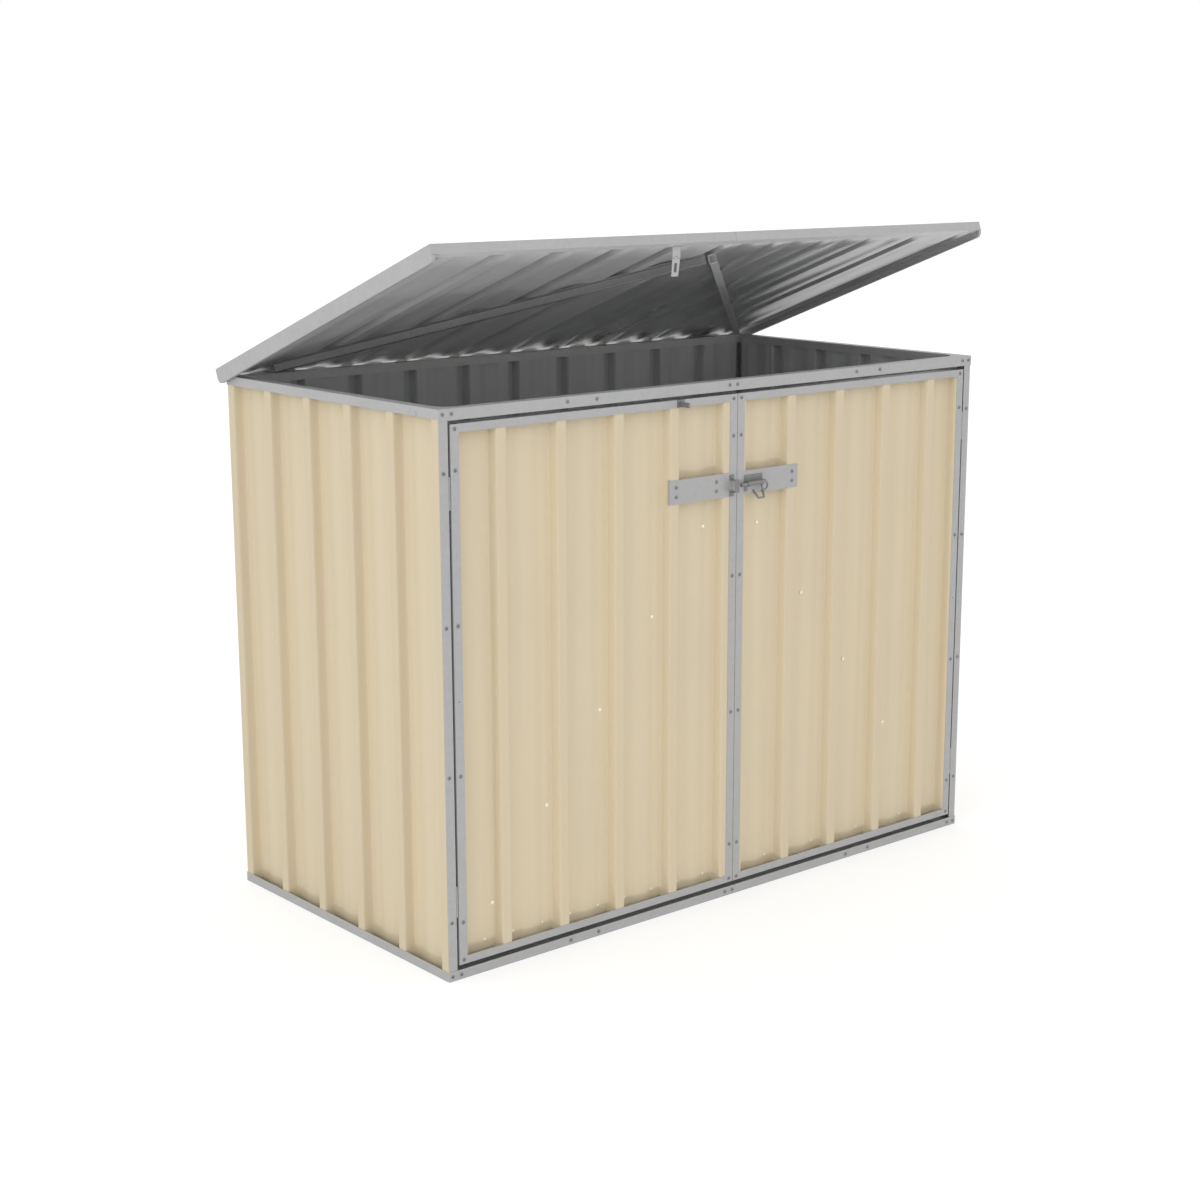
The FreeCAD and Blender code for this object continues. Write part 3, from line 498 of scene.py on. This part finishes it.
def rolled_sheet(name, body, length, crests, rise, rows, place, material, stands_for):
    """Ribbed sheet: the rib line carried along the rows, each grid point set by place(along,
    height, row), with its gauge on the side away from the ribs."""
    along, height = rib_line(length, crests, rise)
    a, r = np.meshgrid(along, rows, indexing="ij")
    h = np.repeat(height[:, None], len(rows), 1)
    thin_piece(name, body, place(a, h, r), sheet_gauge, material, stands_for, smooth=True)


def low_and_high(node):
    """Lowest and highest corner of a CAD node's box."""
    return [np.array(corner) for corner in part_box(node)]


def sheet_run(node):
    """Length of an upright CAD sheet along the ground."""
    low, high = low_and_high(node)
    return max(high[0] - low[0], high[1] - low[1])


def even_crests(first, run, mirrored):
    """Starts of the crests at even steps from the left end of a run, or, if mirrored, from its
    right end."""
    crests = np.arange(first, run, rib_pitch)
    return np.sort(run - crests - crest_width) if mirrored else crests


def standing_sheet(name, body, node, outward, crests, material):
    """Ribbed sheet in the place of an upright CAD sheet. It runs from left to right as seen
    from outside, with its crests on the outer face of the node's box. The rows lie closer
    together at the rails."""
    low, high = low_and_high(node)
    rightward = np.array([-outward[1], outward[0]])
    start = np.where(outward[:2] - rightward > 0.0, high[:2], low[:2])
    between = np.linspace(low[2] + row_margin, high[2] - row_margin, 7)
    rows = np.concatenate([[low[2]], between, [high[2]]])

    def stand(a, h, z):
        x, y = (start[i] + a * rightward[i] + (h - wall_rib) * outward[i] for i in (0, 1))
        return np.stack([x, y, z], axis=-1)

    rolled_sheet(name, body, sheet_run(node), crests, wall_rib, rows, stand, material, node)


# On every wall the crests are counted from the outer corner, on the sides from the front one.
cream_left = coated("cream_left", (-1.0, 0.0, 0.0), "wall_sheet_left")
cream_back = coated("cream_back", (0.0, 1.0, 0.0), "wall_sheet_back_left")
cream_right = coated("cream_right", (1.0, 0.0, 0.0), "wall_sheet_right")
for wall, side, outward, mirrored, cream in (
        ("wall_sheet_", "left", (-1.0, 0.0, 0.0), True, cream_left),
        ("wall_sheet_back_", "left", (0.0, 1.0, 0.0), True, cream_back),
        ("wall_sheet_", "right", (1.0, 0.0, 0.0), False, cream_right),
        ("wall_sheet_back_", "right", (0.0, 1.0, 0.0), False, cream_back)):
    crests = even_crests(0.0, sheet_run(wall + side), mirrored)
    standing_sheet(wall + "skin_" + side, "cabinet", wall + side, outward, crests, cream)

# Hinges of the doors and of the lid: pressed leaves rolled round plain pins, zinc plated. One
# leaf of each is fixed to the cabinet's post or back rail, the other to the door or the lid.
hinge_zinc = zinc("hinge_zinc", ((0.30, 0.30, 0.305), (0.46, 0.46, 0.455)), metallic=0.45, rough=0.42,
                  grains=260.0)
finish_nodes(hinge_zinc, "post_hinges_left", "post_hinges_right", "left_door_hinges",
             "right_door_hinges", "rail_hinges", "lid_hinges")

# Screws: self-tapping pan heads, zinc plated, with a cross recess, driven through both metals
# where the channels meet. Each stands where its plain head is in the solids.
screw_zinc = zinc("screw_zinc", ((0.20, 0.20, 0.205), (0.33, 0.33, 0.325)), metallic=0.5, rough=0.38,
                  grains=600.0)
pan_profile = np.array(((0.0, 0.0), (0.0040, 0.0), (0.0040, 0.0007), (0.0036, 0.0013),
                        (0.0027, 0.0017), (0.0019, 0.0018), (0.0010, 0.0018), (0.0, 0.0018)))
pan_seat = 0.0009
pan_recess = 0.0019
recess_depth = 0.9
label_sweeps = 12
cabinet_middle = (0.0, 0.0, 0.6)


def head_places(node):
    """Middle and outward way of every head in a node. Welded points of its triangles take the
    lowest label of their neighbours until each head has one; a head's thinnest way is its axis."""
    mesh = nodes[node].data
    points = np.empty(3 * len(mesh.vertices))
    mesh.vertices.foreach_get("co", points)
    corners = np.empty(len(mesh.loops), dtype=np.int64)
    mesh.loops.foreach_get("vertex_index", corners)
    points, weld = np.unique(np.round(points.reshape(-1, 3), 5), axis=0, return_inverse=True)
    triangles = weld.ravel()[corners].reshape(-1, 3)
    labels = np.arange(len(points))
    for _ in range(label_sweeps):
        np.minimum.at(labels, triangles.ravel(), np.repeat(labels[triangles].min(axis=1), 3))
    heads = [points[labels == label] for label in np.unique(labels)]
    middles = np.array([head.mean(axis=0) for head in heads])
    ways = np.array([np.linalg.eigh(np.cov((head - head.mean(axis=0)).T))[1][:, 0] for head in heads])
    outward = middles - np.array(cabinet_middle)
    return middles, ways * np.sign((ways * outward).sum(axis=1))[:, None]


def turned_heads(name, body, middles, ways, profile, material, stands_for, recess=0.0, steps=12):
    """Heads turned from one profile of radius and height, closed on its axis at both ends, each
    along its way or all along one. Inside the recess radius the surface sinks along a cross, by
    the square of the cosine of twice the angle."""
    radius, height = profile.T
    angle = 2.0 * np.pi * np.arange(steps) / steps
    rings = radius[1:-1, None]
    levels = height[1:-1, None]
    depth = recess_depth * recess
    sink = np.clip(1.0 - rings / max(recess, 1e-6), 0.0, 1.0) ** 0.5 * np.cos(2.0 * angle) ** 2
    x = np.concatenate([[0.0], (rings * np.cos(angle)).ravel(), [0.0]])
    y = np.concatenate([[0.0], (rings * np.sin(angle)).ravel(), [0.0]])
    z = np.concatenate([[height[0]], (levels - depth * sink * (levels > 0.0)).ravel(),
                        [height[-1] - depth]])
    count = len(rings)
    near = np.arange(steps)
    after = (near + 1) % steps
    base = 1 + np.arange(count - 1)[:, None] * steps
    quads = np.stack([base + near, base + after, base + steps + after, base + steps + near], axis=-1)
    last = 1 + (count - 1) * steps
    under = np.stack([np.zeros_like(near), 1 + after, 1 + near], axis=-1)
    over = np.stack([np.full_like(near, len(x) - 1), last + near, last + after], axis=-1)
    ways = np.broadcast_to(ways, middles.shape)
    first_side = np.cross(ways, [0.0, 0.0, 1.0])
    first_side = first_side / np.linalg.norm(first_side, axis=1)[:, None]
    second_side = np.cross(ways, first_side)
    points = (middles[:, None] + x[None, :, None] * first_side[:, None]
              + y[None, :, None] * second_side[:, None] + z[None, :, None] * ways[:, None])
    start = (np.arange(len(middles)) * len(x))[:, None, None]
    faces = (quads.reshape(1, -1, 4) + start).reshape(-1, 4).tolist()
    for fan in (under, over):
        faces += (fan[None] + start).reshape(-1, 3).tolist()
    mesh = bpy.data.meshes.new(name)
    mesh.from_pydata(points.reshape(-1, 3), [], faces)
    new_piece(name, body, mesh, material, stands_for)


for node, body in (("frame_screws", "cabinet"), ("left_door_screws", "left_door"),
                   ("right_door_screws", "right_door")):
    finish_nodes(screw_zinc, node)
    middles, ways = head_places(node)
    turned_heads(node.replace("screws", "screw_heads"), body, middles - pan_seat * ways, ways,
                 pan_profile, screw_zinc, node, pan_recess, steps=16)

# Doors: four folded channels round a ribbed sheet, and a channel brace across its back. Screws
# along the stiles hold the channels together and the edges of the sheet in them.
front = (0.0, -1.0, 0.0)
# The doors' cream is a paler copy of the walls' cream: painted light on the door faces.
cream_front_lit = coated("cream_front_lit", front, "left_door_sheet", (0.706, 0.606, 0.43))
first_crest = {"left_door": 0.1085, "right_door": 0.0012}
edge_crest = 0.0205
edge_crest_room = 0.09
for door in ("left_door", "right_door"):
    finish_nodes(frame_zinc, door + "_hinge_stile", door + "_meeting_stile", door + "_top_rail",
                 door + "_bottom_rail", door + "_brace")
    sheet = door + "_sheet"
    finish_nodes(cream_front_lit, sheet)
    run = sheet_run(sheet)
    if door == "left_door":
        crests = even_crests(first_crest[door], run, False)
    else:
        crests = even_crests(first_crest[door], run - edge_crest_room, False)
        crests = np.append(crests, run - edge_crest)
    standing_sheet(sheet + "_skin", door, sheet, front, crests, cream_front_lit)

# Blind rivets through the sheets and the braces behind them: domed heads painted a paler cream.
# Smaller ones hold the foot of each sheet to the bottom rail, two to a wide pan.
rivet_cream = coated("rivet_cream", front, "left_door_sheet", (0.98, 0.93, 0.79), (0.3, 0.3, 0.3))
dome_profile = np.array(((0.0, 0.0), (0.0032, 0.0), (0.0031, 0.0004), (0.0025, 0.0009),
                         (0.0014, 0.00115), (0.0, 0.0012)))
dome_seat = 0.0006
rivet_scale = 1.25
foot_rivet_scale = 0.8
foot_rivet_height = 0.058
after_crest = 0.011
before_crest = 0.03
pair_step = 0.076
room_for_one = 0.03
room_for_two = 0.11
for door in ("left_door", "right_door"):
    node = door + "_rivets"
    finish_nodes(rivet_cream, node)
    middles, ways = head_places(node)
    turned_heads(door + "_rivet_heads", door, middles - dome_seat * ways, ways,
                 rivet_scale * dome_profile, rivet_cream, node)
    low, high = low_and_high(door + "_sheet")
    crest = low[0] + first_crest[door]
    along = np.arange(crest + crest_width + rib_run + after_crest, high[0] - room_for_one, rib_pitch)
    second = along[along < high[0] - room_for_two] + pair_step
    along = np.sort(np.concatenate([along, second]))
    if door == "left_door":
        along = np.append(crest - before_crest, along)
    feet = np.stack([along, np.full_like(along, low[1] + wall_rib),
                     np.full_like(along, foot_rivet_height)], axis=1)
    turned_heads(door + "_foot_rivets", door, feet, front, foot_rivet_scale * dome_profile,
                 rivet_cream, None)

# Lock: two plates on the ribs beside the stiles, a keeper, a barrel bolt and a padlock staple.
# All are galvanised or zinc plated and screwed on; the lid's hasp drops over a staple of its own.
plate_zinc = zinc("plate_zinc", ((0.41, 0.412, 0.415), (0.48, 0.482, 0.48)), metallic=0.3, rough=0.45,
                  grains=110.0)
# The keeper, barrel, bolt and staples are zinc plated, and painted dark beyond that: painted shade for
# the shadows around the lock.
fitting_zinc_shaded = zinc("fitting_zinc_shaded", ((0.175, 0.175, 0.18), (0.30, 0.30, 0.295)), metallic=0.5,
                    rough=0.36, grains=320.0)
hasp_zinc = zinc("hasp_zinc", ((0.46, 0.462, 0.464), (0.54, 0.542, 0.54)), metallic=0.3, rough=0.42,
                 grains=260.0)
finish_nodes(plate_zinc, "left_lock_plate", "right_lock_plate")
finish_nodes(fitting_zinc_shaded, "bolt_keeper", "bolt_barrel", "padlock_staple", "bolt", "hasp_staple")
finish_nodes(hasp_zinc, "hasp_leaf", "hasp_strap")

# Small screws of the lock: the keeper has one below and one above the bolt, the barrel has one
# at each end of its upper edge. Shares of the fitting's width and height give their places.
fitting_gauge = 0.0012
small_screw_inset = 0.0055
small_screw_recess = 0.0011
for node, body, shares, scale in (
        ("bolt_keeper", "left_door", ((0.5, 0.0), (0.5, 1.0)), 0.9),
        ("bolt_barrel", "right_door", ((0.1, 1.0), (0.9, 1.0)), 0.62)):
    low, high = low_and_high(node)
    low[2], high[2] = low[2] + small_screw_inset, high[2] - small_screw_inset
    centres = np.array([(low[0] + x * (high[0] - low[0]), high[1] - fitting_gauge,
                         low[2] + z * (high[2] - low[2])) for x, z in shares])
    turned_heads(node + "_screws", body, centres, front, scale * pan_profile, screw_zinc, None,
                 small_screw_recess)

# Small dark rivets through the hinge stiles, close to the screws, three to a door. They hold
# what lies behind the stile, and their heads are hardly more than dots.
rivet_dark = zinc("rivet_dark", ((0.10, 0.10, 0.105), (0.17, 0.17, 0.172)), metallic=0.3, rough=0.5,
                  grains=600.0)
hinge_rivet_heights = (0.115, 0.569, 1.023)
hinge_rivet_scale = 0.45
for door in ("left_door", "right_door"):
    low, high = low_and_high(door + "_hinge_stile")
    centres = np.array([((low[0] + high[0]) / 2.0, low[1], height) for height in hinge_rivet_heights])
    turned_heads(door + "_hinge_rivets", door, centres, front, hinge_rivet_scale * dome_profile,
                 rivet_dark, None)

# Lid: two ribbed sheets of plain aluminium-zinc coated steel, with their edges held in folded
# cappings. It is drawn open, turned up about the line of its hinges on the back rails.
lid_angle = math.radians(20.14)
lid_up = (0.0, math.sin(lid_angle), math.cos(lid_angle))
lid_front, lid_rear = -0.8342, 0.0118
lid_edge = 0.7713
lid_rib = 0.0162
lid_first_crest = 0.0125
sheet_seat = 0.004
along_lid = (1.0, 0.06, 0.06)
joints = {joint["name"]: joint for joint in frame["record"]["behaviour"]["joints"]}
hinge_y, hinge_z = joints["lid_hinge"]["pos_m"][1:]
# Both sheets are one steel. Their underside is painted paler than their top, painted light under the
# open lid. The left one also carries painted shade, and the right one is a glossier copy with its own
# tones, for the sheen on that half.
lid_steel = zinc("lid_steel", ((0.77, 0.774, 0.774), (0.82, 0.824, 0.823)), metallic=0.35, rough=0.5,
                 grains=60.0, relief=0.002, stretch=along_lid, top_way=lid_up, side_shade_share=0.28)
lid_steel_bright = zinc("lid_steel_bright", ((0.66, 0.665, 0.665), (0.73, 0.735, 0.733)),
                        metallic=0.68, rough=0.32, grains=60.0, relief=0.002, stretch=along_lid,
                        top_way=lid_up)


def lid_place(x, y, up):
    """Place on the lid, from the run behind the hinge line and the height above it, turned up."""
    return np.stack(np.broadcast_arrays(
        x, hinge_y + y * math.cos(lid_angle) + up * math.sin(lid_angle),
        hinge_z - y * math.sin(lid_angle) + up * math.cos(lid_angle)), axis=-1)


def left_half(a, h, y):
    """Place on the left lid sheet, whose run ends at the middle of the lid."""
    return lid_place(a - lid_edge, y, sheet_seat + sheet_gauge + h)


def right_half(a, h, y):
    """Place on the right lid sheet, whose run starts at the middle of the lid."""
    return lid_place(a, y, sheet_seat + sheet_gauge + h)


for side, place, steel in (("left", left_half, lid_steel), ("right", right_half, lid_steel_bright)):
    finish_nodes(steel, "lid_sheet_" + side)
    crests = even_crests(lid_first_crest, lid_edge, side == "right")
    rolled_sheet("lid_sheet_skin_" + side, "lid", lid_edge, crests, lid_rib,
                 np.linspace(lid_front, lid_rear, 9), place, steel, "lid_sheet_" + side)

# Cappings of the lid, folded from galvanised strip. The front ones are painted paler on their
# # underside, painted light on the return that lies in shade, so the way that tells their two sides
# # apart looks up and half as much to the front.
up_and_front = (0.0, lid_up[1] - 0.5 * lid_up[2], lid_up[2] + 0.5 * lid_up[1])
capping_zinc_painted_light = zinc("capping_zinc_painted_light", ((0.70, 0.703, 0.705), (0.76, 0.762, 0.762)), metallic=0.25,
                    rough=0.5, grains=110.0, top_way=up_and_front, top_colours=frame_tones)
finish_nodes(capping_zinc_painted_light, "lid_front_cappings")
finish_nodes(frame_zinc, "lid_side_capping_left", "lid_side_capping_right", "lid_rear_cappings")

# The side cappings are folded over the edge of the sheet, down and in again, with round lower
# corners.
capping_gauge = 0.0012
capping_outer = 0.7725
capping_top = 0.025
capping_high, capping_low = 0.02225, -0.01205
capping_return = 0.008
capping_bend = 0.0015
capping_front, capping_rear = -0.8354, 0.0130
front_round, rear_round = 0.014, 0.012


def side_capping(name, side):
    """Profile from the top leg over the outer leg to the return, carried to the rear. Towards
    each end the foot of the profile rises along a quarter circle."""
    to_round = 1.0 - np.cos(np.linspace(0.0, np.pi / 2.0, 9))
    straight = np.linspace(capping_front + front_round, capping_rear - rear_round, 7)[1:-1]
    stations = np.concatenate([capping_front + front_round * to_round, straight,
                               (capping_rear - rear_round * to_round)[::-1]])
    near = np.clip(front_round - (stations - capping_front), 0.0, front_round)
    far = np.clip(rear_round - (capping_rear - stations), 0.0, rear_round)
    foot = capping_low + front_round - np.sqrt(front_round ** 2 - near ** 2)
    foot = foot + rear_round - np.sqrt(rear_round ** 2 - far ** 2)
    arc = np.linspace(0.0, np.pi / 2.0, 5)
    falling = capping_bend - capping_bend * np.sin(arc)
    rising = capping_bend - capping_bend * np.cos(arc)
    inward = np.concatenate([[capping_top], falling, rising, [capping_return]])
    lift = np.concatenate([[0.0], -rising, falling, [0.0]])
    share = np.repeat([0.0, 1.0], 1 + len(arc))
    height = capping_high * (1.0 - share) + foot[:, None] * share + lift
    grid = lid_place(side * (capping_outer - inward), stations[:, None], height)
    if side > 0.0:
        grid = grid[::-1]
    thin_piece("lid_side_capping_skin_" + name, "lid", grid, capping_gauge, frame_zinc,
               "lid_side_capping_" + name)


side_capping("left", -1.0)
side_capping("right", 1.0)

# Lid braces: two folded channels under the sheets, from the middle of the front to the rear
# corners, each with its open side to the front and one flange screwed to the sheet.
brace_width = 0.017
brace_depth = 0.020
brace_gauge = 0.0012
brace_bend = 0.002
brace_foot = (0.683, -0.072)
brace_apex = (0.010, -0.7415)
# One galvanised steel in two copies: the left brace painted darker as painted shade under the lid, the
# right one paler as painted light on its lit face.
brace_zinc_shaded = zinc("brace_zinc_shaded", ((0.27, 0.272, 0.274), (0.32, 0.322, 0.322)), metallic=0.2, rough=0.55,
                  grains=110.0)
brace_zinc_lit = zinc("brace_zinc_lit", ((0.56, 0.563, 0.565), (0.62, 0.623, 0.622)),
                         metallic=0.25, rough=0.45, grains=110.0)
finish_nodes(brace_zinc_shaded, "lid_braces")


def open_channel(name, side, steel):
    """Channel profile carried from the foot to the apex: out along the sheet, down and back,
    with each corner a short arc. Across it the way is square to the run and points to the
    front."""
    arc = np.linspace(0.0, np.pi / 2.0, 5)
    falling = brace_bend - brace_bend * np.sin(arc)
    rising = brace_bend - brace_bend * np.cos(arc)
    half = brace_width / 2.0
    across = np.concatenate([[half], falling - half, rising - half, [half]])
    down = np.concatenate([[0.0], rising, brace_depth - falling, [brace_depth]])
    foot = np.array(brace_foot) * (side, 1.0)
    run = np.array(brace_apex) * (side, 1.0) - foot
    front_x, front_y = side * np.array([-run[1], run[0]]) / np.hypot(*run)
    line = foot + run * np.linspace(0.0, 1.0, 5)[:, None]
    grid = lid_place(line[:, :1] + front_x * across, line[:, 1:] + front_y * across, sheet_seat - down)
    if side > 0.0:
        grid = grid[::-1]
    thin_piece(name, "lid", grid, brace_gauge, steel, "lid_braces")


open_channel("lid_brace_left", -1.0, brace_zinc_shaded)
open_channel("lid_brace_right", 1.0, brace_zinc_lit)
